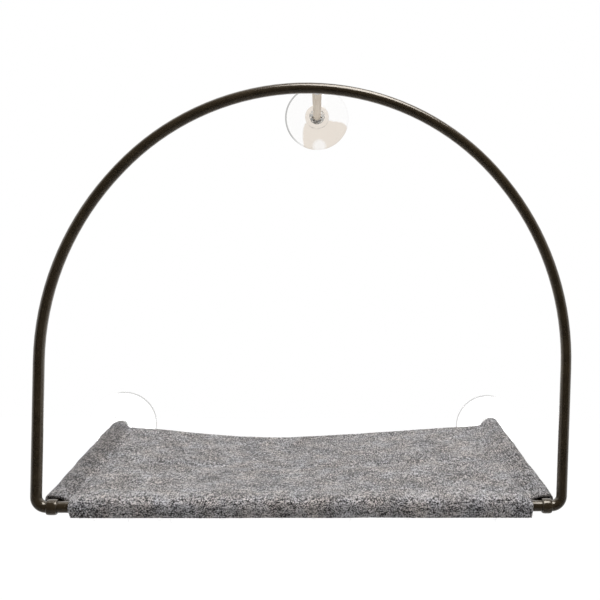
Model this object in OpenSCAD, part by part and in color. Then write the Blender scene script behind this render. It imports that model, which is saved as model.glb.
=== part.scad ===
// Window mounted cat perch: a tall tube hoop, a felt bed on two rods, one strut and three suction cups.
// X runs along the window, Y towards it, Z up. The origin lies on the window's face, midway between
// the two lower cups, at the height of the bed rods.

/* [Hoop] */
// Distance between the middle lines of the hoop's legs
leg_spacing = 500; // [460:5:540]
// Height of the crown's middle line above the bed rods
hoop_h = 399; // [370:1:440]
// Outside diameter of the hoop and of the front bar
tube_d = 10.5; // [9.5:0.5:11]
// Wall of the hoop, the front bar and the bed rods
tube_wall = 1.2; // [0.8:0.1:1.4]
// How far the centre of each side arc lies past the hoop's middle
side_shift = 20; // [10:1:30]
// Degrees through which each side arc turns
side_turn = 41.5; // [35:0.5:50]
// Straight stretch between a side arc and the crown's arc
arch_join = 3; // [1:0.5:10]
// Middle-line radius of the bend at the foot of each leg
foot_bend_r = 10; // [8:0.5:14]
// Straight tail between a foot's bend and the end of the front bar
foot_tail = 2; // [1.5:0.5:4]
// Length of the swaged end that enters the front bar
swage_l = 20; // [14:1:26]
// Wall of the swaged end
swage_wall = 1; // [0.7:0.1:1.3]

/* [Bed frame] */
// Distance from the window to the hoop's plane
perch_depth = 300; // [240:5:340]
// Outside diameter of the bed rods
rod_d = 10; // [9:0.5:11]
// Width of each eye that turns on the front bar
eye_w = 9; // [9:0.5:11]
// Wall of each eye round its bush, at its middle
eye_wall = 1.2; // [1:0.1:2]
// Wall of each eye at its two sides
eye_side_wall = 0.5; // [0.3:0.1:0.8]
// Width of the rounding from a side of an eye to its full wall
eye_round_w = 3.2; // [1:0.1:4]
// Wall of the bush in each eye
bush_wall = 0.75; // [0.5:0.05:1.2]
// Gap between an eye and the hoop's foot
eye_gap = 0.5; // [0.3:0.1:1]
// Length of the neck between an eye and the end of its rod
eye_neck_l = 2; // [1:0.5:4]
// Diameter of that neck
eye_neck_d = 8.2; // [7.8:0.1:8.6]
// Length of the spigot that holds a rod on its eye
eye_spigot_l = 18; // [12:1:30]

/* [Lock screws] */
// Diameter of a lock screw's shank
screw_d = 3; // [2.5:0.5:3.5]
// Length of a lock screw's shank
screw_l = 6; // [4:0.5:8]
// Diameter of a lock screw's head
screw_head_d = 5; // [4:0.25:5.5]
// Height of a lock screw's head
screw_head_h = 1.8; // [1.2:0.1:2.4]
// Diameter of the hexagon recess in the head, across its corners
screw_hex_d = 2.3; // [1.5:0.1:2.8]
// Depth of the hexagon recess
screw_hex_h = 1; // [0.6:0.1:1.4]

/* [Strut] */
// Outside diameter of the strut
strut_d = 9.5; // [9:0.5:10.5]
// Wall of the strut
strut_wall = 1.1; // [0.8:0.1:1.3]
// Diameter of the stud on the hoop's crown
stud_d = 5; // [4:0.5:5.5]
// Length of the stud
stud_l = 16; // [10:1:22]
// Length of the boss between the crown and the strut
boss_l = 6; // [4:0.5:10]
// Thickness of the flange of the strut's threaded insert
insert_flange_t = 1.5; // [1:0.1:2.5]

/* [Suction cups] */
// Diameter of a cup
cup_d = 82; // [70:1:90]
// Diameter of a cup's boss
cup_boss_d = 30; // [27:0.5:34]
// Height of a cup's skirt
skirt_h = 9.5; // [8.5:0.5:12]
// Height of the boss above the skirt
cup_boss_l = 13.5; // [10:0.5:18]
// Thickness of a cup at its rim
rim_t = 1.2; // [0.8:0.1:2]
// Width of the flat rim that lies on the glass
rim_w = 2.5; // [1.5:0.1:4]
// Depth of the hollow under a cup
hollow_h = 7.5; // [6.5:0.1:8]
// Rounding of the boss where it meets the skirt and at its top
cup_round = 2; // [1:0.1:2.6]
// Diameter of the release tab on the skirt
tab_d = 15; // [10:1:16]
// Height of the release tab above the glass
tab_h = 5.2; // [5:0.1:6]
// Diameter of the star washer
star_d = 19.4; // [17:0.1:20]
// Thickness of the star washer
star_t = 0.8; // [0.5:0.1:1]
// Rise of the star washer's petals
star_rise = 1.6; // [1:0.1:2.4]
// Width of the slots between the petals
star_slot_w = 1.1; // [0.8:0.1:1.4]
// Number of slots in the star washer
star_slots = 9; // [6:1:12]
// Gap between the window and the end plugs
plug_gap = 6; // [5:0.5:7]
// Thickness of an end plug's flange
plug_flange_t = 2; // [1.2:0.1:2.4]
// How far an end plug's flange stands past its rod
plug_lip = 2; // [1.5:0.1:2.5]
// Length of an end plug's spigot
plug_l = 15; // [8:1:25]

/* [Felt cover] */
// Thickness of the felt
felt_t = 2.4; // [2:0.1:4]
// Gap between each eye and the end of the front sleeve
flap_gap = 12; // [8:0.5:16]
// How far the front sleeve hangs below the middle of the bar
flap_drop = 8.8; // [8.4:0.1:14]
// How far the side sleeves reach inwards past the rods
sleeve_slack = 5; // [3:0.5:8]
// Gap between the cups' bosses and the felt
felt_rear_gap = 5; // [3:1:20]
// Height of the seat's middle surface above the rods, along the sides
seat_side_z = 5; // [4:0.5:6]
// Sag of the seat at the middle of its free rear edge
seat_sag = 14; // [0:1:30]
// Thickness of each half of the hook and loop closure
strip_t = 0.7; // [0.5:0.1:0.9]
// Height of the closure's strips
strip_h = 2.4; // [2:0.1:2.6]
// How far the felt's lip hangs below the closure
strip_lift = 1; // [0.6:0.1:1.2]
// How far the closure ends short of the sleeve's ends
strip_inset = 6; // [2:1:20]

/* [Hidden] */

$fn = 64;

// Radial clearance of what turns
run_fit = 0.05;
// Radial clearance of what is pressed or plugged in
plug_fit = 0.02;
// Gap between faces that lie against each other or slide past
face_gap = 0.3;
// How far a cut runs past what it cuts
overrun = 1;
// How far a straight stretch of the hoop laps a bend, and its extra radius there
lap_l = 0.2;
lap_step = 0.02;
// Steps in the rounding of an outline
round_steps = 4;

// Places on the hoop
half_span = leg_spacing / 2;
side_r = half_span + side_shift;
side_end_x = side_r * cos(side_turn) - side_shift;
side_end_z = side_r * sin(side_turn);
crown_r = (side_end_x - arch_join * sin(side_turn)) / cos(side_turn);
crown_centre_z = side_end_z + arch_join * cos(side_turn) - crown_r * sin(side_turn);
leg_top_z = hoop_h - crown_centre_z - crown_r;
foot_x = half_span - foot_bend_r;
bar_half = foot_x - foot_tail;

// Places on the bed frame
eye_outer_x = foot_x - eye_gap;
rod_x = eye_outer_x - eye_w / 2;
eye_bore_r = tube_d / 2 + run_fit + bush_wall + plug_fit;
eye_r = eye_bore_r + eye_wall;
rod_front_y = eye_r + eye_neck_l - perch_depth;
rod_rear_y = -plug_gap - plug_flange_t;
rod_bore_r = rod_d / 2 - tube_wall;
flap_half_w = eye_outer_x - eye_w - flap_gap;
screw_x = flap_half_w + flap_gap / 2;

// Places on the strut
boss_rear_y = tube_d / 2 + boss_l - perch_depth;
insert_y = boss_rear_y + face_gap;
strut_front_y = insert_y + insert_flange_t;
strut_bore_r = strut_d / 2 - strut_wall;

// Places on a cup, as heights above the window
cup_top = skirt_h + cup_boss_l;
plug_seat_h = plug_gap + plug_flange_t + face_gap;
star_seat_h = cup_top - star_t - face_gap - face_gap;
skirt_inner_r = cup_boss_d / 2 + cup_round;
hollow_r = cup_d / 2 - rim_w;
skirt_steps = 9;
skirt_bow = 1.25;

// Places on the cover
sleeve_bore_r = rod_d / 2 + face_gap;
sleeve_r = sleeve_bore_r + felt_t;
bar_sleeve_bore_r = tube_d / 2 + face_gap;
bar_sleeve_r = bar_sleeve_bore_r + felt_t;
felt_rear_y = -cup_top - felt_rear_gap;
sleeve_front_y = rod_front_y;
seat_lead_y = bar_sleeve_r + face_gap - perch_depth;
seat_front_y = seat_lead_y + face_gap;
seat_half_w = rod_x - sleeve_slack - sleeve_r;
seat_front_z = bar_sleeve_r - felt_t / 2;
seat_across = 20;
seat_along = 10;

rod_colour = [0.20, 0.17, 0.14];
strut_colour = [0.85, 0.82, 0.76];
felt_colour = [0.58, 0.57, 0.57];
cup_colour = [0.93, 0.92, 0.88, 0.45];
zinc_colour = [0.78, 0.78, 0.77];
nylon_colour = [0.12, 0.12, 0.12];
closure_colour = [0.30, 0.30, 0.31];

// A round bar along X that starts at x
module along_x(x, r, l) {
  translate([x, -perch_depth, 0]) rotate([0, 90, 0]) cylinder(r = r, h = l);
}

// A round tube or rod along Y from its front end to its rear end
module along_y(x, z, front_y, rear_y, r) {
  translate([x, rear_y, z]) rotate([90, 0, 0]) cylinder(r = r, h = rear_y - front_y);
}

// The cut face of a tube
module tube_ring(d, wall) {
  difference() {
    circle(d = d);
    circle(d = d - 2 * wall);
  }
}

// One bent stretch of the hoop, in the hoop's plane
module hoop_bend(centre_x, centre_z, bend_r, from, turn) {
  translate([centre_x, -perch_depth, centre_z]) rotate([90, 0, 0]) rotate([0, 0, from])
    rotate_extrude(angle = turn, $fn = 180)
      translate([bend_r, 0]) tube_ring(tube_d, tube_wall, $fn = 64);
}

// One straight stretch of the hoop. It is a hair thicker and laps the bends, so that they fuse.
module hoop_straight(x, z, turn, l) {
  translate([x, -perch_depth, z]) rotate([0, -turn, 0]) translate([0, 0, -lap_l])
    linear_extrude(l + 2 * lap_l) tube_ring(tube_d + 2 * lap_step, tube_wall + 2 * lap_step);
}

// The straight tail and swaged end at the foot of the right leg
module swaged_end() {
  swage_r = tube_d / 2 - tube_wall - plug_fit;
  bore_r = swage_r - swage_wall;
  end_outline = [
    [bore_r, 0], [tube_d / 2, 0], [tube_d / 2, foot_tail], [swage_r, foot_tail],
    [swage_r, foot_tail + swage_l], [bore_r, foot_tail + swage_l]
  ];
  difference() {
    translate([foot_x, -perch_depth, 0]) rotate([0, -90, 0]) rotate_extrude() polygon(end_outline);
    lock_screw_hole();
  }
}

// The hole for a lock screw, from the back of the bar to its middle
module lock_screw_hole() {
  translate([screw_x, tube_d - perch_depth, 0]) rotate([90, 0, 0])
    cylinder(d = screw_d + 2 * run_fit, h = tube_d);
}

// The right half of the hoop below the crown's arc
module hoop_side() {
  swaged_end();
  hoop_bend(foot_x, foot_bend_r, foot_bend_r, -90, 90);
  hoop_straight(half_span, foot_bend_r, 0, leg_top_z - foot_bend_r);
  hoop_bend(-side_shift, leg_top_z, side_r, 0, side_turn);
  hoop_straight(side_end_x, leg_top_z + side_end_z, side_turn, arch_join);
}

module hoop_tube() {
  color(rod_colour) {
    hoop_side();
    mirror([1, 0, 0]) hoop_side();
    hoop_bend(0, leg_top_z + crown_centre_z, crown_r, side_turn, 180 - 2 * side_turn);
  }
}

module front_bar() {
  color(rod_colour) difference() {
    along_x(-bar_half, tube_d / 2, 2 * bar_half);
    along_x(-bar_half - overrun, tube_d / 2 - tube_wall, 2 * (bar_half + overrun));
    lock_screw_hole();
    mirror([1, 0, 0]) lock_screw_hole();
  }
}

// A screw through the back of the bar and the swaged end, with its head behind the bar
module lock_screw() {
  head_z = -tube_d / 2 - screw_head_h;
  color(zinc_colour) translate([screw_x, -perch_depth, 0]) rotate([90, 0, 0]) difference() {
    union() {
      translate([0, 0, head_z]) cylinder(d = screw_head_d, h = screw_head_h);
      translate([0, 0, -tube_d / 2]) cylinder(d = screw_d, h = screw_l);
    }
    translate([0, 0, head_z - overrun]) cylinder(d = screw_hex_d, h = screw_hex_h + overrun, $fn = 6);
  }
}

// The boss and stud on the back of the crown
module crown_stud() {
  color(rod_colour) {
    difference() {
      along_y(0, hoop_h, -perch_depth, boss_rear_y, strut_d / 2);
      translate([-strut_d, -perch_depth, hoop_h]) rotate([0, 90, 0])
        cylinder(r = tube_d / 2 + run_fit, h = 2 * strut_d);
    }
    along_y(0, hoop_h, boss_rear_y, boss_rear_y + stud_l, stud_d / 2);
  }
}

module strut_insert() {
  insert_rear_y = strut_front_y + stud_l;
  color(zinc_colour) difference() {
    union() {
      along_y(0, hoop_h, insert_y, strut_front_y, strut_d / 2);
      along_y(0, hoop_h, strut_front_y, insert_rear_y, strut_bore_r - plug_fit);
    }
    along_y(0, hoop_h, insert_y - overrun, insert_rear_y + overrun, stud_d / 2 + run_fit);
  }
}

module strut_tube() {
  color(strut_colour) difference() {
    along_y(0, hoop_h, strut_front_y, rod_rear_y, strut_d / 2);
    along_y(0, hoop_h, strut_front_y - overrun, rod_rear_y + overrun, strut_bore_r);
  }
}

// The right bed rod
module side_rod() {
  color(rod_colour) difference() {
    along_y(rod_x, 0, rod_front_y, rod_rear_y, rod_d / 2);
    along_y(rod_x, 0, rod_front_y - overrun, rod_rear_y + overrun, rod_bore_r);
  }
}

// Points of an eye's half outline, rounded at both sides like a bead
function eye_outline() =
  let (
    side_r = eye_bore_r + eye_side_wall,
    left_side = [
      for (i = [0 : round_steps])
        let (a = 90 * i / round_steps)
          [side_r + (eye_r - side_r) * sin(a), eye_round_w * (1 - cos(a))]
    ],
    right_side = [for (i = [round_steps : -1 : 0]) [left_side[i][0], eye_w - left_side[i][1]]]
  ) concat([[0, 0]], left_side, right_side, [[0, eye_w]]);

// The eye that turns on the bar, with the spigot that carries the right bed rod
module eye() {
  color(rod_colour) difference() {
    union() {
      translate([rod_x - eye_w / 2, -perch_depth, 0]) rotate([0, 90, 0])
        rotate_extrude() polygon(eye_outline());
      along_y(rod_x, 0, -perch_depth, rod_front_y, eye_neck_d / 2);
      along_y(rod_x, 0, -perch_depth, rod_front_y + eye_spigot_l, rod_bore_r - plug_fit);
    }
    along_x(rod_x - eye_w / 2 - overrun, eye_bore_r, eye_w + 2 * overrun);
  }
}

module eye_bush() {
  color(nylon_colour) difference() {
    along_x(rod_x - eye_w / 2, eye_bore_r - plug_fit, eye_w);
    along_x(rod_x - eye_w / 2 - overrun, tube_d / 2 + run_fit, eye_w + 2 * overrun);
  }
}

// An end plug whose flange holds a cup on its rod
module end_plug(x, z, outer_r, bore_r) {
  color(nylon_colour) {
    along_y(x, z, rod_rear_y, -plug_gap, outer_r + plug_lip);
    along_y(x, z, rod_rear_y - plug_l, rod_rear_y, bore_r - plug_fit);
  }
}

// A sprung star washer pushed on to a rod, in front of a cup's boss
module star_washer(x, z, shaft_r) {
  inner_r = shaft_r + plug_fit;
  flat_r = (inner_r + star_d) / 3;
  base_h = star_seat_h + face_gap;
  slot_end_r = (flat_r + star_d / 2) / 2;
  outline = [
    [star_d / 2, base_h], [star_d / 2, base_h + star_t], [flat_r, base_h + star_t],
    [inner_r, base_h + star_t + star_rise], [inner_r, base_h + star_rise], [flat_r, base_h]
  ];
  color(zinc_colour) translate([x, 0, z]) rotate([90, 0, 0]) difference() {
    rotate_extrude() polygon(outline);
    for (i = [0 : star_slots - 1])
      rotate([0, 0, 360 * i / star_slots - 90]) translate([0, -star_slot_w / 2, base_h - overrun])
        cube([slot_end_r, star_slot_w, star_t + star_rise + 2 * overrun]);
  }
}

// Points of the skirt's outer face, from the rim to the foot of the boss
function skirt_points() = [
  for (i = [0 : skirt_steps])
    let (t = i / skirt_steps)
      [cup_d / 2 + (skirt_inner_r - cup_d / 2) * t, rim_t + (skirt_h - rim_t) * pow(t, skirt_bow)]
];

// Points of the hollow's face, from an inner radius out to the flat rim
function hollow_points(inner_r) = [
  for (i = [0 : skirt_steps])
    let (r = inner_r + (hollow_r - inner_r) * i / skirt_steps)
      [r, hollow_h * (1 - pow(r / hollow_r, 2))]
];

// A quarter turn of points about a centre
function round_points(centre, r, from, turn) = [
  for (i = [0 : round_steps])
    let (a = from + turn * i / round_steps)
      [centre[0] + r * cos(a), centre[1] + r * sin(a)]
];

function cup_outline(shaft_r) =
  let (
    boss_r = cup_boss_d / 2,
    seat_r = star_d / 2 + face_gap,
    bore_r = shaft_r + run_fit,
    flange_r = shaft_r + plug_lip + face_gap
  ) concat(
    [[cup_d / 2, 0]],
    skirt_points(),
    round_points([boss_r + cup_round, skirt_h + cup_round], cup_round, -90, -90),
    round_points([boss_r - cup_round, cup_top - cup_round], cup_round, 0, 90),
    [[seat_r, cup_top], [seat_r, star_seat_h], [bore_r, star_seat_h]],
    [[bore_r, plug_seat_h], [flange_r, plug_seat_h]],
    hollow_points(flange_r)
  );

// The half-round tab on the skirt, near the rim, that is lifted to let the air in
module release_tab() {
  skin = rim_t / 2;
  outline = concat(
    [for (p = hollow_points(cup_d / 2 - tab_d)) [p[0], p[1] + skin]],
    [[cup_d / 2 - skin, skin], [cup_d / 2 - skin, tab_h], [cup_d / 2 - tab_d, tab_h]]
  );
  intersection() {
    translate([0, tab_d / 2 - cup_d / 2, 0]) cylinder(d = tab_d, h = tab_h + overrun);
    rotate_extrude($fn = 96) polygon(outline);
  }
}

module suction_cup(x, z, shaft_r) {
  color(cup_colour) translate([x, 0, z]) rotate([90, 0, 0]) {
    rotate_extrude($fn = 96) polygon(cup_outline(shaft_r));
    release_tab();
  }
}

// Height of the seat's middle surface, u from side to side and v from front to rear
function seat_mid_z(u, v) =
  seat_front_z + (seat_side_z - seat_front_z) * sin(90 * v) - seat_sag * sin(90 * v) * (1 - u * u);

function seat_points(lift) = [
  for (j = [0 : seat_along], i = [0 : seat_across])
    let (u = 2 * i / seat_across - 1, v = j / seat_along)
      [u * seat_half_w, seat_front_y + (felt_rear_y - seat_front_y) * v, seat_mid_z(u, v) + lift]
];

// The sagging seat, as a sheet with its side and front edges along the sleeves
module seat_panel() {
  row = seat_across + 1;
  under = row * (seat_along + 1);
  last = row * seat_along;
  cells = [for (j = [0 : seat_along - 1], i = [0 : seat_across - 1]) j * row + i];
  top_faces = [for (c = cells) each [[c, c + row, c + row + 1], [c, c + row + 1, c + 1]]];
  low_faces = [for (f = top_faces) [f[2] + under, f[1] + under, f[0] + under]];
  front_faces = [for (i = [0 : seat_across - 1]) each [
    [i, i + 1, i + 1 + under], [i, i + 1 + under, i + under]
  ]];
  rear_faces = [for (i = [0 : seat_across - 1]) each [
    [last + i + 1, last + i, last + i + under], [last + i + 1, last + i + under, last + i + 1 + under]
  ]];
  left_faces = [for (j = [0 : seat_along - 1]) let (c = j * row) each [
    [c + row, c, c + under], [c + row, c + under, c + row + under]
  ]];
  right_faces = [for (j = [0 : seat_along - 1]) let (c = j * row + seat_across) each [
    [c, c + row, c + row + under], [c, c + row + under, c + under]
  ]];
  color(felt_colour) polyhedron(
    points = concat(seat_points(felt_t / 2), seat_points(-felt_t / 2)),
    faces = concat(top_faces, low_faces, front_faces, rear_faces, left_faces, right_faces)
  );
}

// A flat oval that reaches inwards from the right rod
module sleeve_oval(r) {
  circle(r = r);
  translate([-sleeve_slack, 0]) circle(r = r);
  translate([-sleeve_slack, -r]) square([sleeve_slack, 2 * r]);
}

// The felt sleeve on the right rod
module side_sleeve() {
  color(felt_colour) translate([rod_x, felt_rear_y, 0]) rotate([90, 0, 0])
    linear_extrude(felt_rear_y - sleeve_front_y) difference() {
      sleeve_oval(sleeve_r);
      sleeve_oval(sleeve_bore_r);
    }
}

// The felt that goes round the front bar, hangs in front of it and leads back to the seat
module front_sleeve() {
  pocket_y = -tube_d / 2;
  color(felt_colour) translate([-flap_half_w, -perch_depth, 0]) rotate([90, 0, 90])
    linear_extrude(2 * flap_half_w) difference() {
      union() {
        circle(r = bar_sleeve_r);
        translate([-bar_sleeve_r, -flap_drop]) square([bar_sleeve_r, flap_drop]);
        translate([0, bar_sleeve_r - felt_t]) square([bar_sleeve_r + face_gap, felt_t]);
      }
      circle(r = bar_sleeve_bore_r);
      translate([pocket_y, -flap_drop - overrun])
        square([2 * strip_t + face_gap, strip_lift + strip_h + overrun]);
    }
}

// One half of the closure that shuts the front sleeve under the bar
module closure_strip(offset_y) {
  strip_half_w = flap_half_w - strip_inset;
  color(closure_colour)
    translate([-strip_half_w, offset_y - tube_d / 2 - perch_depth, strip_lift - flap_drop])
      cube([2 * strip_half_w, strip_t, strip_h]);
}

mirror([1, 0, 0]) side_rod();  // left_side_rod
side_rod();  // right_side_rod
mirror([1, 0, 0]) eye();  // left_eye
eye();  // right_eye
mirror([1, 0, 0]) eye_bush();  // left_eye_bush
eye_bush();  // right_eye_bush
end_plug(-rod_x, 0, rod_d / 2, rod_bore_r);  // left_rod_plug
end_plug(rod_x, 0, rod_d / 2, rod_bore_r);  // right_rod_plug
star_washer(-rod_x, 0, rod_d / 2);  // left_star_washer
star_washer(rod_x, 0, rod_d / 2);  // right_star_washer
seat_panel();
mirror([1, 0, 0]) side_sleeve();  // left_sleeve
side_sleeve();  // right_sleeve
front_sleeve();
closure_strip(0);  // front_hook_strip
closure_strip(strip_t);  // front_loop_strip
hoop_tube();
front_bar();
mirror([1, 0, 0]) lock_screw();  // left_lock_screw
lock_screw();  // right_lock_screw
crown_stud();
strut_tube();
strut_insert();
end_plug(0, hoop_h, strut_d / 2, strut_bore_r);  // strut_plug
star_washer(0, hoop_h, strut_d / 2);  // top_star_washer
suction_cup(0, hoop_h, strut_d / 2);  // top_cup
suction_cup(-rod_x, 0, rod_d / 2);  // left_cup
suction_cup(rod_x, 0, rod_d / 2);  // right_cup
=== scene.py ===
"""Window mounted cat perch: finishes, felt cover, clear cups and the studio round the frame."""

import math

import bpy
from mathutils import Matrix, Vector, noise


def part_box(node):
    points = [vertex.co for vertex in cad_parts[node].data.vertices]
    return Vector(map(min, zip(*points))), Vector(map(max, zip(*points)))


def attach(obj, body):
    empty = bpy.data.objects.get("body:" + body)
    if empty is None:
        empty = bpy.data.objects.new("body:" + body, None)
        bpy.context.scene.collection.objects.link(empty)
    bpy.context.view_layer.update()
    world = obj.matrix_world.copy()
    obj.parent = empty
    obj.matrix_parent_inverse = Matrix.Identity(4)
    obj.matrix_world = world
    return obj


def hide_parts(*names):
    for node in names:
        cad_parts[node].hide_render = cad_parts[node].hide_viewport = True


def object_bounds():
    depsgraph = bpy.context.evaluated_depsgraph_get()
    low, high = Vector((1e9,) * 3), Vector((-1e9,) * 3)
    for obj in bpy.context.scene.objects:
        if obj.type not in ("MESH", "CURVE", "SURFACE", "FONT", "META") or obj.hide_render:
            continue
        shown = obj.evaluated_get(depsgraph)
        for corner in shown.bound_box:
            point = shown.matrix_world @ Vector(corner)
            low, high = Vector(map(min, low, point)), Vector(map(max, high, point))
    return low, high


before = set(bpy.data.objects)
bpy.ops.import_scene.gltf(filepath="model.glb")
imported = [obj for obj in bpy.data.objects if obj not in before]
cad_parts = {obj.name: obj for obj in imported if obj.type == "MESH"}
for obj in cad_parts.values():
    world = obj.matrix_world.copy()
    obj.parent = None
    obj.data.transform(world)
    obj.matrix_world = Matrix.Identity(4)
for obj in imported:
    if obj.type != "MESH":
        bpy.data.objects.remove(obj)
cad_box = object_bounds()

MM = 0.001
WHITE = (1, 1, 1, 1)

# Camera, fitted to the photograph: metres, degrees, and pixels of its frame
IMAGE_PX = 600
CAMERA_AT = Vector((0.0031, -1.1202, 0.2931))
CAMERA_YAW = 5.12
CAMERA_PITCH = -1.27
CAMERA_ROLL = 1.66
FOCAL_PX = 860
OPTICAL_AXIS_PX = (393.7, 221.5)
SENSOR_MM = 36

# Floor, in metres. Its glow is what the camera and the clear cups see
FLOOR_DROP = 0.45
FLOOR_SIZE = 3.2
FLOOR_Y = 0.35
FLOOR_GLOW = 1.05
FLOOR_GLOW_SHARE = 0.95
# Gloss mirrors a dim floor in front of the object and a white one behind it. Between these
# places along the floor it goes from dim to white
MIRRORED_FLOOR_DIM = 0.16
MIRRORED_FLOOR_YS = (-0.85, 0.15)
# The room is dark in front and light behind: how far a ray leans to the back where its light
# starts and stops growing, and the light there
ROOM_LEANS = (-0.3, 0.5)
ROOM_LIGHT = (0.045, 0.6)
MIRRORED_ROOM_LEANS = (-0.2, 0.5)
MIRRORED_ROOM_LIGHT = (0.02, 1.0)
# Soft lamps: name, place, aim, width and height, watts, and whether gloss mirrors the lamp
LAMPS = [
    ("overhead", (0.32, -0.72, 1.85), (0, -0.3, 0.3), (1.15, 1.0), 26.5, True),
    ("left_side", (-1.75, -0.5, 0.25), (0, -0.3, 0.2), (0.8, 1.7), 1.6, True),
    ("right_side", (1.7, -0.75, 0.25), (0, -0.3, 0.2), (0.8, 1.7), 1.6, True),
    ("low_behind", (0, 1.0, -0.2), (0, -0.15, 0.33), (1.2, 0.5), 3.2, False),
]

# Clear cups, in millimetres from the middle of a cup: the radii between which the rim's painted
# dark refraction sets in, the span to its darker side over which it gets stronger, and how strong
# it is
RIM_RS = (38.6, 39.4)
RIM_SIDES = (-14, 18)
RIM_PAINTED_REFRACTION = (0.08, 0.85)
RIM_LEAN_UP = 0.6
# Top cup: milk-white hub, and painted shade in that cream on the disc's lower right, denser at its
# tab
HUB_RS = (15.6, 14.4)
CUP_SHADE_AT = (11, -27)
CUP_SHADE_HALF_SIZE = (29, 25)
CUP_SHADE_WANDER = 9
TAB_AT = (4, -36)
TAB_RS = (6, 10)
# How opaque clear PVC is, and how much more so under painted rim refraction, milk-white and
# painted shade
CLEAR_ALPHA = 0.45
MARKED_ALPHA = 0.5

# Felt: turns of its fibres in radians, marks in a metre along x, y and z, the pattern's level,
# and how strongly each kind of mark shows
FIBRE_TURNS = (1.25, 1.9, 0.2)
LIGHT_FIBRES = (220, 1150, 1500)
DARK_FIBRES = (210, 1050, 1400)
SPECKS = (820, 215, 1000)
CLUMPS = (120, 420, 300)
FELT_LEVEL = 0.398
FIBRE_CONTRAST = 4.8
SPECK_CONTRAST = 17
CLUMP_CONTRAST = 4.2
CLOUD_CONTRAST = 2.2
# Painted shade on the sleeves, stronger on the left one, which faces away from the light: where
# it sets in, in millimetres from the middle of the flat cloth, and by what share
LEFT_PAINTED_SHADE_XS = (-222, -225)
LEFT_PAINTED_SHADE = 0.8
RIGHT_PAINTED_SHADE_XS = (222, 226)
RIGHT_PAINTED_SHADE = 0.36
PAINTED_SHADE_WANDER = 8
PAINTED_SHADE_TINT = (0.5, 0.49, 0.485, 1)

# Felt cover, in millimetres
FELT_T = 2.4
LAYER_GAP = 0.1
CUT_EDGE_W = 0.5
CUT_EDGE_ANGLE = 50
REAR_Y = -28.0
SLEEVE_END_Y = -291.0
SEAT_LEVEL_Y = -294.0
BAR_Y = -300.0
BAR_ROLL_R = 6.75
ROD_X = 235.0
ROD_CLEAR_R = 6.25
SLEEVE_OUT_X = 243.3
SEAM_X = 213.0
FUZZ_HALF_W = 240.0
# Rows and columns of the cloth
SEAT_COLUMNS = 176
SEAT_ROWS = 106
SLEEVE_COLUMNS = 34
ROLL_ROWS = 10
FLAP_ROWS = 5
LIP_ROWS = 26
LINE_STEPS = 12
# Front flap: how far each side flares past the half width and then tapers down to the hem
FLAP_HALF_W = 218.5
FLAP_DROP = 8.4
FLAP_TILT = 0.7
FLAP_SWAY = 0.35
HEM_WANDER = 0.4
LEFT_FLARE = (0.9, 2.8)
RIGHT_FLARE = (1.6, 1.0)
FLARE_RUN = 8
# Lip behind the bar: it narrows over a short run that starts just in front of the sleeves'
# ends, and from its seam backwards it lies below the seat
LIP_HALF_W = 211.0
LIP_NARROWS_AHEAD = 2
LIP_NARROWS_RUN = 3
LIP_SEWN_Y = -289
# Swells of the seat: size across and along, seed, height. They fade out towards the sleeves
# over an edge, and no longer change past a share of the way back
SWELLS = [(80, 62, 3.1, 1.3), (33, 25, 8.4, 0.5)]
SWELL_EDGE_W = 40
SWELL_HELD_FROM = 0.75
# Creases beside the sleeves: depth and width at the front end, and midway
CREASE_X = FLAP_HALF_W + 2
FRONT_CREASE = (2.4, 6)
SIDE_CREASE = (2.2, 13)
# Shallow fold across the seat
FOLD_Y = -171.0
FOLD_DEPTH = 0.9
FOLD_W = 6.5
FOLD_WANDER = 5
# Cut edges: the run over which the straying fades, and the stray itself
EDGE_RUN = 12
EDGE_STRAY = 0.9
# The sleeves' front ends reach this far over the eyes, between these distances outwards and
# above this height, with soft steps
OVER_EYE = 2.4
EYE_XS = (220, 241.5)
EYE_STEP = 4
EYE_Z = 2
# Side sleeves: how their shape goes from front to rear, where 1 is evenly, the share of a line
# that goes round the rod, how far that puffs out, evenly and in waves, and a line's last
# places: distance outside the seam, slack below the seat
SLEEVE_EASE = 1.15
ROUND_ROD = 0.75
PUFF = (0.35, 0.9)
SEAM_TAIL = [(4.5, 0.4), (-1, 0)]
# Seams: along both creases, from the sleeves' front ends backwards, and below the front edge.
# Heights of the thread from the seat's middle surface
SIDE_STITCH_X = 216.5
SIDE_STITCH_RUN = range(6, 262, 4)
FRONT_STITCH_Y = -281.0
FRONT_STITCH_XS = range(-204, 205, 4)
THREAD_ABOVE = FELT_T / 2 + 0.05
THREAD_BELOW = -1.5 * FELT_T - 0.15

# Top of the seat along its free rear edge, from left to right
REAR_EDGE = [
    (-222, 3.3), (-208, 2.2), (-173, -0.2), (-136, -3.8), (-86, -7.4), (-36, -8.4), (15, -6.4),
    (53, -4.1), (91, -1.4), (130, 1.4), (169, 4.2), (208, 7.0), (222, 8.3),
]
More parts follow.
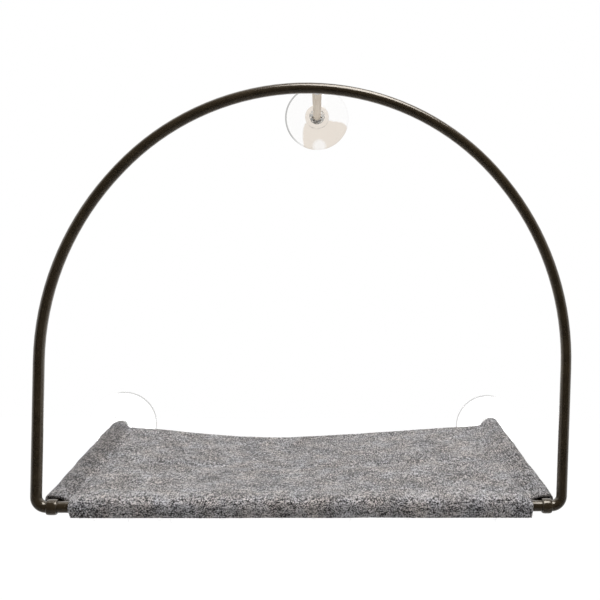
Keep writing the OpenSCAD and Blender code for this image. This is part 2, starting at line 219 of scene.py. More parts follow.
# Middle lines of the side sleeves, from the crease over the rod and back below it:
# distance outwards, height
LEFT_REAR = [
    (222, 2.0), (225.5, 4.2), (229.0, 7.2), (233.6, 8.9), (238.8, 8.6), (242.4, 6.2),
    (243.3, 1.6), (242.2, -3.8), (237, -6.8), (230, -6.4), (225, -4.4), (221.4, -2.0),
]
LEFT_FRONT = [
    (221.6, 2.6), (225.2, 4.4), (229.6, 6.7), (234.8, 7.4), (239.8, 7.2), (242.9, 5.2),
    (243.3, 1.0), (242.2, -4.0), (237, -6.8), (230, -6.7), (225, -4.4), (221, -0.4),
]
RIGHT_REAR = [
    (221.5, 7.3), (225.0, 12.0), (229.5, 15.6), (234.6, 16.8), (240.2, 14.8), (243.0, 9.8),
    (243.3, 3.0), (241.6, -4.2), (236, -6.9), (230, -6.2), (224.8, -2.0), (220.8, 2.4),
]
RIGHT_FRONT = [
    (221.5, 4.0), (225, 5.2), (229.5, 6.8), (234.8, 7.6), (239.8, 7.4), (242.9, 5.2),
    (243.3, 0.8), (242.0, -4.4), (236.8, -6.8), (230, -6.6), (225, -4.0), (221, 0.2),
]
# Middle line of the strip behind the bar, from the lip to the seat's underside: depth, height
LIP_LINE = [
    (-302.5, -8.0), (-302.4, -7.4), (-299.4, -6.75), (-295.6, -5.5), (-293.4, -2.6),
    (-293.0, 1.2), (-291.4, 3.6), (-288.0, 4.2), (-282.0, 4.1), (-275.0, 3.9),
]


class Value:
    """A socket of a node tree. Arithmetic on it adds Math nodes."""

    def __init__(self, nodes, socket):
        self.nodes = nodes
        self.socket = socket

    def other(self, out):
        """Another output of the same node."""
        return Value(self.nodes, self.nodes.find(self.socket.node.outputs, out))

    def _math(self, operation, first, second):
        return self.nodes.node("ShaderNodeMath", {"operation": operation}, {0: first, 1: second})

    def __add__(self, other):
        return self._math("ADD", self, other)

    __radd__ = __add__

    def __sub__(self, other):
        return self._math("SUBTRACT", self, other)

    def __rsub__(self, other):
        return self._math("SUBTRACT", other, self)

    def __mul__(self, other):
        return self._math("MULTIPLY", self, other)

    __rmul__ = __mul__

    def __truediv__(self, other):
        return self._math("DIVIDE", self, other)

    def __pow__(self, other):
        return self._math("POWER", self, other)


class Nodes:
    """A node tree, emptied, and the one way to add nodes to it."""

    def __init__(self, tree):
        self.tree = tree
        self.tree.nodes.clear()

    def node(self, kind, settings=None, inputs=None, out=0):
        """Adds a node: its settings first, then values or links of its sockets, by name or number.

        Returns the output asked for, or nothing from a node that has none.
        """
        made = self.tree.nodes.new(kind)
        for name, value in (settings or {}).items():
            if name == "stops":
                self._set_stops(made.color_ramp, value)
            else:
                setattr(made, name, value)
        for key, value in (inputs or {}).items():
            socket = self.find(made.inputs, key)
            if isinstance(value, Value):
                self.tree.links.new(value.socket, socket)
            else:
                socket.default_value = value
        return Value(self, self.find(made.outputs, out)) if made.outputs else None

    @staticmethod
    def find(sockets, key):
        """A socket by its number, or the one in use by its name."""
        if isinstance(key, int):
            return sockets[key]
        return next(s for s in sockets if s.name == key and s.enabled)

    @staticmethod
    def _set_stops(ramp, stops):
        while len(ramp.elements) < len(stops):
            ramp.elements.new(1)
        for element, (place, colour) in zip(ramp.elements, stops):
            element.position = place
            element.color = colour

    def highest(self, first, *others):
        for value in others:
            first = self.node("ShaderNodeMath", {"operation": "MAXIMUM"}, {0: first, 1: value})
        return first

    def spread(self, value, low, high, to_low=0, to_high=1):
        """Maps low to high on to to_low to to_high, held at both ends."""
        return self.node("ShaderNodeMapRange", {}, {
            "Value": value, "From Min": low, "From Max": high, "To Min": to_low, "To Max": to_high,
        }, out="Result")

    def axis(self, vector, name):
        return self.node("ShaderNodeSeparateXYZ", {}, {0: vector}, out=name)

    def vector(self, x=0, y=0, z=0):
        return self.node("ShaderNodeCombineXYZ", {}, {"X": x, "Y": y, "Z": z})

    def either(self, factor, first, second):
        """The first shader where the factor is 0, and the second where it is 1."""
        return self.node("ShaderNodeMixShader", {}, {0: factor, 1: first, 2: second})


class Finish(Nodes):
    """One material and the nodes of its tree."""

    def __init__(self, name):
        self.material = bpy.data.materials.new(name)
        self.material.use_nodes = True
        super().__init__(self.material.node_tree)

    def coordinates(self):
        return self.node("ShaderNodeTexCoord", out="Object")

    def placed(self, vector, scale, turn=(0, 0, 0)):
        return self.node("ShaderNodeMapping", {}, {
            "Vector": vector, "Scale": scale, "Rotation": turn,
        })

    def noise(self, vector, scale, detail=2, roughness=0.5, distortion=0):
        return self.node("ShaderNodeTexNoise", {}, {
            "Vector": vector, "Scale": scale, "Detail": detail, "Roughness": roughness,
            "Distortion": distortion,
        }, out="Fac")

    def ramp(self, value, stops):
        return self.node("ShaderNodeValToRGB", {"stops": stops}, {"Fac": value}, out="Color")

    def tones(self, pattern, first, second, edge=0.35):
        """Screen colours from first to second over the middle of a pattern's range."""
        return self.ramp(pattern, [(edge, shade(*first)), (1 - edge, shade(*second))])

    def vary(self, pattern, low, high):
        """Numbers from low to high over the middle of a pattern's range."""
        return self.spread(pattern, 0.3, 0.7, low, high)

    def mix(self, factor, first, second, blend="MIX"):
        return self.node("ShaderNodeMix", {"data_type": "RGBA", "blend_type": blend}, {
            "Factor": factor, "A": first, "B": second,
        }, out="Result")

    def bump(self, height, strength, distance):
        return self.node("ShaderNodeBump", {}, {
            "Height": height, "Strength": strength, "Distance": distance,
        }, out="Normal")

    def glow(self, strength):
        return self.node("ShaderNodeEmission", {}, {"Color": WHITE, "Strength": strength})

    def principled(self, inputs):
        """Ends the tree in a Principled shader and returns the material."""
        return self.surface(self.node("ShaderNodeBsdfPrincipled", {}, inputs, out="BSDF"))

    def surface(self, shader):
        """Ends the tree in this shader and returns the material."""
        self.node("ShaderNodeOutputMaterial", {}, {"Surface": shader})
        return self.material


def shade(red, green, blue):
    """A colour from its 0 to 255 screen values, as the linear values that a socket takes."""
    def linear(v):
        v = v / 255
        return v / 12.92 if v <= 0.04045 else ((v + 0.055) / 1.055) ** 2.4
    return (linear(red), linear(green), linear(blue), 1)


def in_metres(lengths):
    """Lengths given in millimetres, as metres."""
    return [length * MM for length in lengths]


def powder_coat():
    """Dark bronze powder coat, glossy, with a fine orange peel."""
    f = Finish("powder_coat_bronze")
    where = f.coordinates()
    return f.principled({
        "Base Color": f.tones(f.noise(where, 60, 3), (61, 51, 37), (72, 61, 45)),
        "Roughness": f.vary(f.noise(where, 240, 3), 0.2, 0.28), "Metallic": 0.0,
        "Specular IOR Level": 1.0, "Specular Tint": (1.0, 0.89, 0.74, 1), "Coat Weight": 0.6,
        "Coat Roughness": 0.12, "Normal": f.bump(f.noise(where, 700), 0.1, 0.3 * MM),
    })


def strut_paint():
    """Matte stone-coloured paint of the strut."""
    f = Finish("strut_paint_stone")
    where = f.coordinates()
    return f.principled({
        "Base Color": f.tones(f.noise(where, 90, 3), (243, 225, 202), (251, 236, 215)),
        "Roughness": f.vary(f.noise(where, 300), 0.48, 0.6),
        "Normal": f.bump(f.noise(where, 1100), 0.1, 0.3 * MM),
    })


def zinc():
    """Bright zinc plate of the star washers, the screws and the insert."""
    f = Finish("zinc_plate")
    where = f.coordinates()
    clouds = f.noise(where, 250, 3)
    return f.principled({
        "Base Color": f.tones(clouds, (236, 235, 231), (250, 249, 246), edge=0.3),
        "Metallic": 0.05, "Roughness": f.vary(clouds, 0.34, 0.46),
        "Normal": f.bump(f.noise(where, 1500), 0.08, 0.1 * MM),
    })


def nylon():
    """Dark moulded nylon of the plugs and bushes."""
    f = Finish("nylon_dark")
    where = f.coordinates()
    grain = f.noise(where, 800, 3)
    return f.principled({
        "Base Color": f.tones(f.noise(where, 120), (38, 37, 36), (50, 49, 47), edge=0.3),
        "Roughness": f.vary(grain, 0.4, 0.55), "Normal": f.bump(grain, 0.2, 0.2 * MM),
    })


def closure_tape():
    """Woven hook and loop tape inside the lip of the front sleeve."""
    f = Finish("closure_tape_grey")
    loops = f.noise(f.coordinates(), 1600, 2, 0.7, 1.5)
    return f.principled({
        "Base Color": f.tones(loops, (60, 60, 62), (104, 104, 106)), "Roughness": 0.9,
        "Normal": f.bump(loops, 0.8, 0.4 * MM),
    })


def thread():
    """Grey sewing thread, uneven along its length."""
    f = Finish("thread_grey")
    plies = f.noise(f.coordinates(), 1260)
    return f.principled({
        "Base Color": f.tones(plies, (96, 93, 93), (140, 137, 137)), "Roughness": 0.7,
        "Normal": f.bump(plies, 0.5, 0.1 * MM),
    })


def felt_fibres():
    """Single loose fibres, most of them lighter than the felt."""
    f = Finish("felt_fibres_pale")
    colour = f.ramp(f.noise(f.coordinates(), 130, 2, 0.7), [
        (0.3, shade(96, 92, 91)), (0.45, shade(168, 164, 162)), (0.6, shade(226, 223, 220)),
    ])
    return f.principled({"Base Color": colour, "Roughness": 0.85})


def clear_pvc(name, cup, refraction_side, milky_and_shaded=False):
    """Clear soft PVC of a suction cup, with painted dark refraction on its rim, stronger on one
    side.

    The top cup is milk-white in its hub, and painted shade in that cream lies on the lower right
    of its disc, denser at its tab.
    """
    f = Finish(name)
    where = f.coordinates()
    waves = f.noise(where, 45)
    low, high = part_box(cup)
    across = f.axis(where, "X") - (low[0] + high[0]) / 2
    up = f.axis(where, "Z") - (low[2] + high[2]) / 2
    reach = (across * across + up * up) ** 0.5
    # Painted dark refraction along the rim, stronger on one side
    sideways = across * refraction_side + up * RIM_LEAN_UP
    rim = f.spread(reach, *in_metres(RIM_RS))
    rim = rim * f.spread(sideways, *in_metres(RIM_SIDES), *RIM_PAINTED_REFRACTION)
    colour, rim_refraction_colour, marks = shade(255, 254, 253), shade(84, 84, 83), rim
    if milky_and_shaded:
        # Milk-white hub, and painted shade in the same cream on the lower right of the disc
        hub = f.spread(reach, *in_metres(HUB_RS))
        wander = (waves - 0.5) * CUP_SHADE_WANDER * MM
        aside = (across - CUP_SHADE_AT[0] * MM + wander) / (CUP_SHADE_HALF_SIZE[0] * MM)
        below = (up - CUP_SHADE_AT[1] * MM + wander) / (CUP_SHADE_HALF_SIZE[1] * MM)
        side = f.spread((aside * aside) ** 2 + (below * below) ** 2, 1.1, 0.8)
        from_tab = ((across - TAB_AT[0] * MM) ** 2 + (up - TAB_AT[1] * MM) ** 2) ** 0.5
        tab = f.spread(from_tab, *in_metres(TAB_RS))
        milk_and_shade = f.highest(hub * 0.8, side * (0.35 + 0.5 * tab))
        colour = f.mix(milk_and_shade, colour, shade(226, 214, 200))
        rim_refraction_colour, marks = shade(158, 158, 156), f.highest(rim, milk_and_shade)
    return f.principled({
        "Base Color": f.mix(rim, colour, rim_refraction_colour), "Roughness": f.vary(waves, 0.0, 0.05),
        "Transmission Weight": 1.0, "IOR": 1.4, "Alpha": CLEAR_ALPHA + marks * MARKED_ALPHA,
        "Normal": f.bump(waves, 0.1, 1.0 * MM),
    })


def felt():
    """Grey melange felt, light and dark fibres matted in all directions, with painted shade on the
    sleeves.
    """
    f = Finish("felt_melange_grey")
    where = f.coordinates()
    light, dark = [], []
    for k, turn in enumerate(FIBRE_TURNS):
        along = f.placed(where, LIGHT_FIBRES, (0.3 * k, 0, turn))
        light.append(f.noise(along, 1, 2, 0.6, 0.8))
        across = f.placed(where, DARK_FIBRES, (0, 0.3 * k, turn + 0.2))
        dark.append(f.noise(across, 1.1, 2, 0.6, 0.8))
    pale, deep = f.highest(*light), f.highest(*dark)
    specks = f.noise(f.placed(where, SPECKS), 1, 3, 0.85)
    clumps = f.noise(f.placed(where, CLUMPS), 1, 3, 0.65, 0.5)
    clouds = f.noise(where, 30, 3, 0.6)
    level = (
        FELT_LEVEL + (pale - 0.6) * FIBRE_CONTRAST - (deep - 0.6) * FIBRE_CONTRAST
        + (specks - 0.5) * SPECK_CONTRAST + (clumps - 0.5) * CLUMP_CONTRAST
        + (clouds - 0.5) * CLOUD_CONTRAST
    )
    colour = f.ramp(level, [
        (0.0, shade(32, 29, 28)), (0.3, shade(82, 78, 77)), (0.5, shade(126, 122, 121)),
        (0.7, shade(180, 176, 175)), (1.0, shade(242, 239, 237)),
    ])
    tint = f.ramp(f.noise(where, 40, 2, 0.6), [
        (0.35, (1.0, 0.95, 0.93, 1)), (0.65, (0.94, 0.952, 1.0, 1)),
    ])
    colour = f.mix(1, colour, tint, "MULTIPLY")
    flat = f.node("ShaderNodeUVMap", {"uv_map": "flat"})
    # Painted shade on the side sleeves, stronger on the left one, multiplied into the colour
    from_middle = f.axis(flat, "X") + (clouds - 0.5) * PAINTED_SHADE_WANDER * MM
    left = f.spread(from_middle, *in_metres(LEFT_PAINTED_SHADE_XS)) * LEFT_PAINTED_SHADE
    right = f.spread(from_middle, *in_metres(RIGHT_PAINTED_SHADE_XS)) * RIGHT_PAINTED_SHADE
    colour = f.mix(f.highest(left, right), colour, PAINTED_SHADE_TINT, "MULTIPLY")
    relief = pale - deep * 0.7 + specks * 0.6
    return f.principled({
        "Base Color": colour, "Roughness": 0.95, "Sheen Weight": 0.5, "Sheen Roughness": 0.42,
        "Normal": f.bump(relief, 0.55, 0.7 * MM),
    })


def dress_frame():
    """Gives each CAD node its finish by its slot in the record, and each cup its own."""
    finishes = {
        "powder_coat": powder_coat(), "strut_coat": strut_paint(), "zinc": zinc(),
        "nylon": nylon(), "closure_tape": closure_tape(), "felt": felt(),
    }
    cups = {
        "top_cup": clear_pvc("clear_pvc_top", "top_cup", -1, milky_and_shaded=True),
        "left_cup": clear_pvc("clear_pvc_left", "left_cup", 1),
        "right_cup": clear_pvc("clear_pvc_right", "right_cup", -1),
    }
    for name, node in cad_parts.items():
        for place in node.material_slots:
            place.material = cups.get(name) or finishes[place.material.name]
    return finishes


def clamp(t):
    """t held between 0 and 1."""
    return min(max(t, 0), 1)


def wave(x, y, z):
    """Smooth noise, about -1 to 1."""
    return noise.noise(Vector((x, y, z)))


def bell(offset, width):
    """1 where the offset is 0, falling to nearly 0 past twice the width."""
    return math.exp(-(offset / width) ** 2)


def between(keys, x):
    """Height at x on a smooth curve through the keys."""
    k = 0
    while k < len(keys) - 2 and x > keys[k + 1][0]:
        k += 1
    before, first = keys[max(k - 1, 0)], keys[k]
    last, after = keys[k + 1], keys[min(k + 2, len(keys) - 1)]
    width = last[0] - first[0]
    t = clamp((x - first[0]) / width)
    leave = (last[1] - before[1]) / (last[0] - before[0]) * width
    reach = (after[1] - first[1]) / (after[0] - first[0]) * width
    return ((2 * t**3 - 3 * t**2 + 1) * first[1] + (t**3 - 2 * t**2 + t) * leave
            + (3 * t**2 - 2 * t**3) * last[1] + (t**3 - t**2) * reach)


def smooth_line(points, count):
    """Evenly spaced places along a smooth curve through the points."""
    fine = []
    for k in range(len(points) - 1):
        nearby = [min(max(k + o, 0), len(points) - 1) for o in (-1, 0, 1, 2)]
        a, b, c, d = (Vector(points[i]) for i in nearby)
        for i in range(LINE_STEPS):
            t = i / LINE_STEPS
            fine.append(0.5 * (2 * b + (c - a) * t + (2 * a - 5 * b + 4 * c - d) * t**2
                               + (3 * b - a - 3 * c + d) * t**3))
    fine.append(Vector(points[-1]))
    run = [0.0]
    for a, b in zip(fine, fine[1:]):
        run.append(run[-1] + (b - a).length)
    places, k = [], 0
    for i in range(count):
        goal = run[-1] * i / (count - 1)
        while k < len(fine) - 2 and run[k + 1] < goal:
            k += 1
        places.append(fine[k].lerp(fine[k + 1], (goal - run[k]) / (run[k + 1] - run[k])))
    return places


def columns(half_w):
    """Even places across the seat, from one side to the other."""
    return [half_w * (2 * i / SEAT_COLUMNS - 1) for i in range(SEAT_COLUMNS + 1)]


def new_object(name, data):
    """An object on this data, in the scene."""
    made = bpy.data.objects.new(name, data)
    bpy.context.scene.collection.objects.link(made)
    return made


def plain_piece(name, maker):
    """What the maker's modifiers make, as a piece with smooth faces. The maker goes."""
    maker.update_tag()
    seen = maker.evaluated_get(bpy.context.evaluated_depsgraph_get())
    mesh = bpy.data.meshes.new_from_object(seen)
    mesh.polygons.foreach_set("use_smooth", [True] * len(mesh.polygons))
    mesh.update()
    source = maker.data
    bpy.data.objects.remove(maker)
    bpy.data.meshes.remove(source)
    mesh.name = name
    return new_object(name, mesh)


class ClothGrid:
    """Rows of places joined into one sheet. Each place keeps its spot on the flat cloth."""

    def __init__(self):
        self.places, self.flats, self.faces = [], [], []

    def add_row(self, places, flats):
        start = len(self.places)
        self.places += places
        self.flats += flats
        return list(range(start, start + len(places)))

    def join(self, first, second):
        for a, b, c, d in zip(first, first[1:], second[1:], second):
            self.faces.append((a, b, c, d))

    def flat_size(self):
        """Width, length and area of the flat cloth, in metres."""
        us, vs = [f[0] for f in self.flats], [f[1] for f in self.flats]
        area = 0
        for face in self.faces:
            a, b, c, d = (Vector(self.places[i]) for i in face)
            area += (c - a).cross(d - b).length / 2
        return (max(us) - min(us)) * MM, (max(vs) - min(vs)) * MM, area * MM * MM

    def build(self, name, material):
        """The sheet with its thickness and softened cut edges. The UV map is the flat cloth."""
        mesh = bpy.data.meshes.new(name + "_middle")
        mesh.from_pydata([Vector(p) * MM for p in self.places], [], self.faces)
        layer = mesh.uv_layers.new(name="flat")
        for loop in mesh.loops:
            u, v = self.flats[loop.vertex_index]
            layer.data[loop.index].uv = (u * MM, v * MM)
        mesh.materials.append(material)
        maker = new_object(name + "_maker", mesh)
        wall = maker.modifiers.new("wall", "SOLIDIFY")
        wall.thickness = FELT_T * MM
        wall.offset = 0
        wall.use_even_offset = True
        edges = maker.modifiers.new("cut_edges", "BEVEL")
        edges.width = CUT_EDGE_W * MM
        edges.segments = 2
        edges.limit_method = "ANGLE"
        edges.angle_limit = math.radians(CUT_EDGE_ANGLE)
        return plain_piece(name, maker)


def seat_height(x, y):
    """Middle surface of the seat: level over the bar, sagging towards its free rear edge."""
    back = clamp((SEAT_LEVEL_Y - y) / (SEAT_LEVEL_Y - REAR_Y))
    sag = math.sin(math.pi / 2 * back)
    z = BAR_ROLL_R * (1 - sag) + (between(REAR_EDGE, x) - FELT_T / 2) * sag
    swell = sum(wave(x / wide, y / long, seed) * high for wide, long, seed, high in SWELLS)
    inside = clamp((FLAP_HALF_W - abs(x)) / SWELL_EDGE_W)
    from_crease = CREASE_X - abs(x)
    crease = FRONT_CREASE[0] * (1 - sag) * bell(from_crease, FRONT_CREASE[1])
    crease += SIDE_CREASE[0] * math.sin(math.pi * back) * bell(from_crease, SIDE_CREASE[1])
    from_fold = y - FOLD_Y - FOLD_WANDER * wave(x / 90, 6.2, 0.9)
    fold = FOLD_DEPTH * inside * bell(from_fold, FOLD_W)
    return z - fold + swell * inside * math.sin(math.pi * min(back, SWELL_HELD_FROM)) - crease


def edge_wander(x, y, z):
    """How far the scissors strayed at the seat's rear edge and at both ends of the sleeves.

    The top of a sleeve's front end also reaches over the eye.
    """
    near_rear = max(1 - (REAR_Y - y) / EDGE_RUN, 0)
    near_front = max(1 - (y - SLEEVE_END_Y) / EDGE_RUN, 0) if abs(x) > FLAP_HALF_W + 1 else 0
    over_eye = clamp((EYE_XS[1] - abs(x)) / EYE_STEP) * clamp((abs(x) - EYE_XS[0]) / EYE_STEP)
    over_eye *= clamp(z - EYE_Z)
    stray = EDGE_STRAY * wave(x / 24, z / 24, 1.7)
    forward = (abs(stray) * 0.6 + OVER_EYE * over_eye) * near_front * (1 if z > EYE_Z else -1)
    return stray * near_rear - forward


def sleeve_line(rear, front, y, side):
    """Middle line of a side sleeve at y: out from its crease, round the rod, back to its seam."""
    share = ((y - SLEEVE_END_Y) / (REAR_Y - SLEEVE_END_Y)) ** SLEEVE_EASE
    line = [
        (a[0] + (b[0] - a[0]) * share, a[1] + (b[1] - a[1]) * share) for a, b in zip(front, rear)
    ]
    for out, slack in SEAM_TAIL:
        x = SEAM_X + out
        line.append((x, seat_height(side * x, y) - (FELT_T + LAYER_GAP) - slack))
    soft = []
    for k, place in enumerate(smooth_line(line, SLEEVE_COLUMNS)):
        t = k / (SLEEVE_COLUMNS - 1)
        arm = Vector((place[0] - ROD_X, place[1]))
        if t < ROUND_ROD:
            puff = PUFF[0] + PUFF[1] * wave(7 * side, y / 34, 2.2 * t)
            goal = max(arm.length + puff * math.sin(math.pi * t / ROUND_ROD), ROD_CLEAR_R)
            arm *= goal / arm.length
        soft.append((min(ROD_X + arm.x, SLEEVE_OUT_X), arm.y))
    return soft


def felt_cover(material):
    """The seat, its side sleeves and the front edge that rolls over the bar, cut as one."""
    grid = ClothGrid()
    seat_xs = columns(FLAP_HALF_W)
    rows = []
    for j in range(SEAT_ROWS + 1):
        y = REAR_Y + (SLEEVE_END_Y - REAR_Y) * j / SEAT_ROWS
        line = [(-x, z) for x, z in reversed(sleeve_line(LEFT_REAR, LEFT_FRONT, y, -1))]
        line += [(x, seat_height(x, y)) for x in seat_xs]
        line += sleeve_line(RIGHT_REAR, RIGHT_FRONT, y, 1)
        run = [0.0]
        for a, b in zip(line, line[1:]):
            run.append(run[-1] + math.dist(a, b))
        middle = run[SLEEVE_COLUMNS + SEAT_COLUMNS // 2]
        places = [(x, y + edge_wander(x, y, z), z) for x, z in line]
        rows.append(grid.add_row(places, [(r - middle, REAR_Y - y) for r in run]))
    for first, second in zip(rows, rows[1:]):
        grid.join(first, second)
    front_edge(grid, rows[-1][SLEEVE_COLUMNS:SLEEVE_COLUMNS + SEAT_COLUMNS + 1], seat_xs)
    return grid.build("felt_cover", material), grid.flat_size()


def front_edge(grid, above, seat_xs):
    """Adds the front edge below the seat's last row: over the bar, and down to its hem."""
    step = (SLEEVE_END_Y - BAR_Y) / 4
    profile = [(SLEEVE_END_Y - step * k, BAR_ROLL_R) for k in range(1, 4)]
    turns = [math.pi / 2 * k / ROLL_ROWS for k in range(ROLL_ROWS + 1)]
    profile += [(BAR_Y - BAR_ROLL_R * math.sin(a), BAR_ROLL_R * math.cos(a)) for a in turns]
    flap_y = BAR_Y - BAR_ROLL_R
    profile += [(flap_y, -FLAP_DROP * k / FLAP_ROWS) for k in range(1, FLAP_ROWS + 1)]
    seat_length = REAR_Y - SLEEVE_END_Y
    down, last = seat_length, (SLEEVE_END_Y, BAR_ROLL_R)
    for y, z in profile:
        down += math.dist(last, (y, z))
        last = (y, z)
        hang = max(-z, 0) / FLAP_DROP
        level = max(z, 0) / BAR_ROLL_R
        places = []
        for x in seat_xs:
            flare, taper = LEFT_FLARE if x < 0 else RIGHT_FLARE
            flared = (flare - taper * hang) * min(down - seat_length, FLARE_RUN) / FLARE_RUN
            sway = FLAP_SWAY * wave(x / 45, 4.4, 0.3) * hang
            hem = (HEM_WANDER * wave(x / 60, 9.1, 2.6) - FLAP_TILT * x / FLAP_HALF_W) * hang
            rise = (seat_height(x, SLEEVE_END_Y) - BAR_ROLL_R) * level
            places.append((x * (FLAP_HALF_W + flared) / FLAP_HALF_W, y - sway, z + hem + rise))
        row = grid.add_row(places, [(x, down) for x in seat_xs])
        grid.join(above, row)
        above = row


def felt_lip(material):
    """The strip behind the bar that closes the front sleeve and is sewn below the seat."""
    grid = ClothGrid()
    above, down, last = None, 0, None
    for y, z in smooth_line(LIP_LINE, LIP_ROWS):
        down += math.dist(last, (y, z)) if last else 0
        last = (y, z)
        narrow = clamp((y - SLEEVE_END_Y + LIP_NARROWS_AHEAD) / LIP_NARROWS_RUN)
        xs = columns(FLAP_HALF_W - (FLAP_HALF_W - LIP_HALF_W) * narrow)
        places = []
        for x in xs:
            below_seat = seat_height(x, y) - FELT_T - LAYER_GAP
            places.append((x, y, min(z, below_seat) if y > LIP_SEWN_Y else z))
        row = grid.add_row(places, [(x, down) for x in xs])
        if above:
            grid.join(row, above)
        above = row
    return grid.build("felt_lip", material), grid.flat_size()


class PieceTree(Nodes):
    """A Geometry Nodes tree with named inputs, run once on a source mesh."""

    KINDS = {
        float: "NodeSocketFloat", int: "NodeSocketInt", bpy.types.Material: "NodeSocketMaterial",
    }

    def __init__(self, name, inputs):
        super().__init__(bpy.data.node_groups.new(name, "GeometryNodeTree"))
        face = self.tree.interface
        for way in ("INPUT", "OUTPUT"):
            face.new_socket("Geometry", in_out=way, socket_type="NodeSocketGeometry")
        self.values = {}
        for label, value in inputs.items():
            kind = next(k for t, k in self.KINDS.items() if isinstance(value, t))
            socket = face.new_socket(label, in_out="INPUT", socket_type=kind)
            self.values[socket.identifier] = value
        self.given = self.node("NodeGroupInput")

    def size(self, label):
        """One of the tree's named inputs."""
        return self.given.other(label)

    def bowed_tube(self, steps, places, sides, radius):
        """A closed tube along a bowed line from the first place to the last."""
        start, middle, end = places
        bow = self.node("GeometryNodeCurveQuadraticBezier", {}, {
            "Resolution": steps, "Start": start, "Middle": middle, "End": end,
        })
        ring = self.node("GeometryNodeCurvePrimitiveCircle", {"mode": "RADIUS"}, {
            "Resolution": sides, "Radius": radius,
        })
        return self.node("GeometryNodeCurveToMesh", {}, {
            "Curve": bow, "Profile Curve": ring, "Fill Caps": True,
        })

    def grow(self, name, source, geometry):
        """Ends the tree and returns what it makes of the source mesh, as a plain piece."""
        real = self.node("GeometryNodeRealizeInstances", {}, {"Geometry": geometry})
        dressed = self.node("GeometryNodeSetMaterial", {}, {
            "Geometry": real, "Material": self.size("Finish"),
        })
        self.node("NodeGroupOutput", {}, {"Geometry": dressed})
        maker = new_object(name + "_maker", source)
        modifier = maker.modifiers.new(name, "NODES")
        modifier.node_group = self.tree
        for identifier, value in self.values.items():
            modifier[identifier] = value
        return plain_piece(name, maker)


def path_mesh(name, lines):
    """A mesh of bare edges along each line of places, which are in millimetres."""
    mesh = bpy.data.meshes.new(name)
    places, edges = [], []
    for line in lines:
        start = len(places)
        places += [Vector(p) * MM for p in line]
        edges += [(start + k, start + k + 1) for k in range(len(line) - 1)]
    mesh.from_pydata(places, edges, [])
    return mesh


def felt_stitches(material):
    """Thread seams: through both side creases, and a blind one below the front edge."""
    def seam(places, lift):
        return [(x, y, seat_height(x, y) + lift) for x, y in places]

    lines = []
    for x in (-SIDE_STITCH_X, SIDE_STITCH_X):
        for lift in (THREAD_ABOVE, THREAD_BELOW):
            lines.append(seam([(x, SLEEVE_END_Y + run) for run in SIDE_STITCH_RUN], lift))
    lines.append(seam([(x, FRONT_STITCH_Y) for x in FRONT_STITCH_XS], THREAD_BELOW))
    tree = PieceTree("stitches", {
        "Pitch": 3.6 * MM, "Stitch length": 2.7 * MM, "Thread radius": 0.28 * MM,
        "Finish": material,
    })
    path = tree.node("GeometryNodeMeshToCurve", {}, {"Mesh": tree.size("Geometry")})
    even = tree.node("GeometryNodeResampleCurve", {"mode": "LENGTH"}, {
        "Curve": path, "Length": tree.size("Pitch"),
    })
    half, radius = tree.size("Stitch length") * 0.5, tree.size("Thread radius")
    dip, crest = radius * -1.2, radius * 1.1
    bowed = [tree.vector(x=dip, z=half * -1), tree.vector(x=crest), tree.vector(x=dip, z=half)]
    stitch = tree.bowed_tube(4, bowed, 6, radius)
    along = tree.node("FunctionNodeAlignRotationToVector", {"axis": "Z"}, {
        "Vector": tree.node("GeometryNodeInputTangent"),
    })
    sewn = tree.node("GeometryNodeInstanceOnPoints", {}, {
        "Points": even, "Instance": stitch, "Rotation": along,
    })
    return tree.grow("felt_stitches", path_mesh("stitch_paths", lines), sewn)


def felt_fuzz(cover, material):
    """Loose fibres that lie on the felt and stand out from it here and there.

    None grows past the half width, because the folding hoop's legs pass there.
    """
    tree = PieceTree("fuzz", {
        "Density": 26000.0, "Fibre length": 4.6 * MM, "Fibre radius": 0.055 * MM, "Seed": 7,
        "Half width": FUZZ_HALF_W * MM, "Lowest tilt": -0.3, "Highest tilt": 0.08,
        "Smallest": 0.45, "Largest": 1.4, "Finish": material,
    })

    def chance(low, high, seed):
        return tree.node("FunctionNodeRandomValue", {"data_type": "FLOAT"}, {
            "Min": low, "Max": high, "Seed": seed,
        }, out="Value")

    across = tree.axis(tree.node("GeometryNodeInputPosition"), "X")
    aside = tree.node("ShaderNodeMath", {"operation": "ABSOLUTE"}, {0: across})
    inside = tree.node("ShaderNodeMath", {"operation": "LESS_THAN"}, {
        0: aside, 1: tree.size("Half width"),
    })
    spots = tree.node("GeometryNodeDistributePointsOnFaces", {"distribute_method": "RANDOM"}, {
        "Mesh": tree.size("Geometry"), "Density": tree.size("Density"),
        "Seed": tree.size("Seed"), "Selection": inside,
    }, out="Points")
    length = tree.size("Fibre length")
    bowed = [tree.vector(), tree.vector(length * 0.5, length * 0.3, length * 0.1),
             tree.vector(length)]
    fibre = tree.bowed_tube(3, bowed, 3, tree.size("Fibre radius"))
    turn = chance(0.0, math.tau, 3)
    tilt = chance(tree.size("Lowest tilt"), tree.size("Highest tilt"), 5)
    own = tree.node("FunctionNodeEulerToRotation", {}, {0: tree.vector(y=tilt, z=turn)})
    facing = tree.node("FunctionNodeRotateRotation", {"rotation_space": "LOCAL"}, {
        "Rotation": spots.other("Rotation"), "Rotate By": own,
    })
    grown = tree.node("GeometryNodeInstanceOnPoints", {}, {
        "Points": spots, "Instance": fibre, "Rotation": facing,
        "Scale": chance(tree.size("Smallest"), tree.size("Largest"), 9),
    })
    return tree.grow("felt_fuzz", cover.data.copy(), grown)


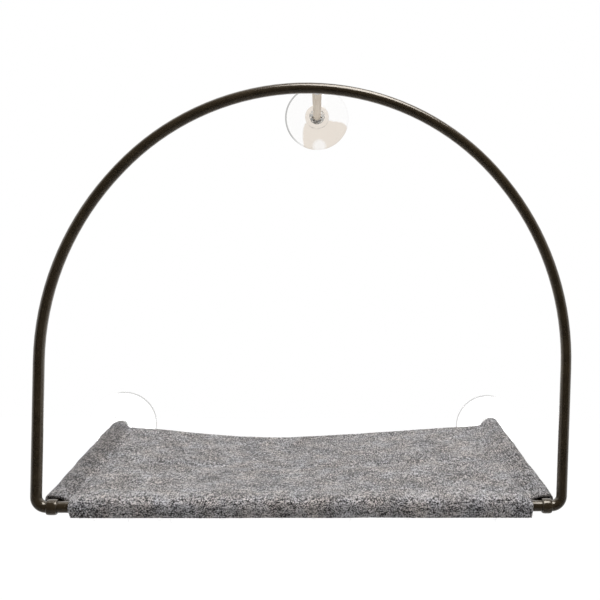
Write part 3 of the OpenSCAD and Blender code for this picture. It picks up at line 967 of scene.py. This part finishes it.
def dress_bed(cloth):
    """The felt cover with its lip, seams and fibres."""
    cover, (width, length, area) = felt_cover(cloth)
    lip, lip_flat = felt_lip(cloth)
    stitches = felt_stitches(thread())
    fuzz = felt_fuzz(cover, felt_fibres())
    for piece in (cover, lip, stitches, fuzz):
        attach(piece, "bed")
    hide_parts("seat_panel", "left_sleeve", "right_sleeve", "front_sleeve")


def pale_floor():
    """The floor: white to the camera and through the cups, with the object's soft shadow."""
    bpy.ops.mesh.primitive_plane_add(
        size=FLOOR_SIZE, location=(0, FLOOR_Y, cad_box[0][2] - FLOOR_DROP))
    floor = bpy.context.active_object
    floor.name = "floor"
    f = Finish("floor_white")
    camera_ray = f.node("ShaderNodeLightPath", out="Is Camera Ray")
    through = camera_ray.other("Is Transmission Ray")
    mirrored = camera_ray.other("Is Glossy Ray") * (1 - through)
    seen = f.node("ShaderNodeMath", {"operation": "MULTIPLY", "use_clamp": True}, {
        0: camera_ray + through, 1: FLOOR_GLOW_SHARE,
    })
    paint = f.node("ShaderNodeBsdfDiffuse", {}, {"Color": shade(240, 240, 240)})
    lit = f.either(seen, paint, f.glow(FLOOR_GLOW))
    depth = f.spread(f.axis(f.coordinates(), "Y"), *MIRRORED_FLOOR_YS)
    dim = f.either(depth, f.glow(MIRRORED_FLOOR_DIM), f.glow(1.0))
    floor.data.materials.append(f.surface(f.either(mirrored, lit, dim)))


def pale_room():
    """The world: white to the camera and through the cups, brighter behind than in front."""
    world = bpy.data.worlds.new("studio")
    bpy.context.scene.world = world
    world.use_nodes = True
    w = Nodes(world.node_tree)

    def light(strength):
        return w.node("ShaderNodeBackground", {}, {"Color": WHITE, "Strength": strength})

    lean = w.axis(w.node("ShaderNodeTexCoord", out="Generated"), "Y")
    camera_ray = w.node("ShaderNodeLightPath", out="Is Camera Ray")
    seen = w.highest(camera_ray, camera_ray.other("Is Transmission Ray"))
    room = light(w.spread(lean, *ROOM_LEANS, *ROOM_LIGHT))
    mirrored_room = light(w.spread(lean, *MIRRORED_ROOM_LEANS, *MIRRORED_ROOM_LIGHT))
    room = w.either(camera_ray.other("Is Glossy Ray"), room, mirrored_room)
    w.node("ShaderNodeOutputWorld", {}, {"Surface": w.either(seen, room, light(1.0))})


def soft_lamp(name, place, aim, size, power, mirrored):
    """A rectangular lamp that looks at its aim."""
    lamp = bpy.data.lights.new(name, "AREA")
    lamp.shape = "RECTANGLE"
    lamp.size, lamp.size_y = size
    lamp.energy = power
    holder = new_object(name, lamp)
    holder.visible_glossy = mirrored
    holder.location = place
    holder.rotation_euler = (Vector(aim) - Vector(place)).to_track_quat("-Z", "Y").to_euler()


def studio():
    """Pale floor, plain room and soft lamps."""
    bpy.context.scene.view_settings.view_transform = "Standard"
    pale_floor()
    pale_room()
    for lamp in LAMPS:
        soft_lamp(*lamp)


def camera():
    """The photograph's camera, with the shift that its framing needs."""
    data = bpy.data.cameras.new("camera")
    data.sensor_width = SENSOR_MM
    data.lens = FOCAL_PX / IMAGE_PX * SENSOR_MM
    data.shift_x = 0.5 - OPTICAL_AXIS_PX[0] / IMAGE_PX
    data.shift_y = OPTICAL_AXIS_PX[1] / IMAGE_PX - 0.5
    holder = new_object("camera", data)
    turn = Matrix.Rotation(-math.radians(CAMERA_YAW), 4, "Z")
    turn = turn @ Matrix.Rotation(math.radians(90 + CAMERA_PITCH), 4, "X")
    turn = turn @ Matrix.Rotation(math.radians(CAMERA_ROLL), 4, "Z")
    holder.matrix_world = Matrix.Translation(CAMERA_AT) @ turn
    bpy.context.scene.camera = holder


camera()
studio()
finishes = dress_frame()
dress_bed(finishes["felt"])
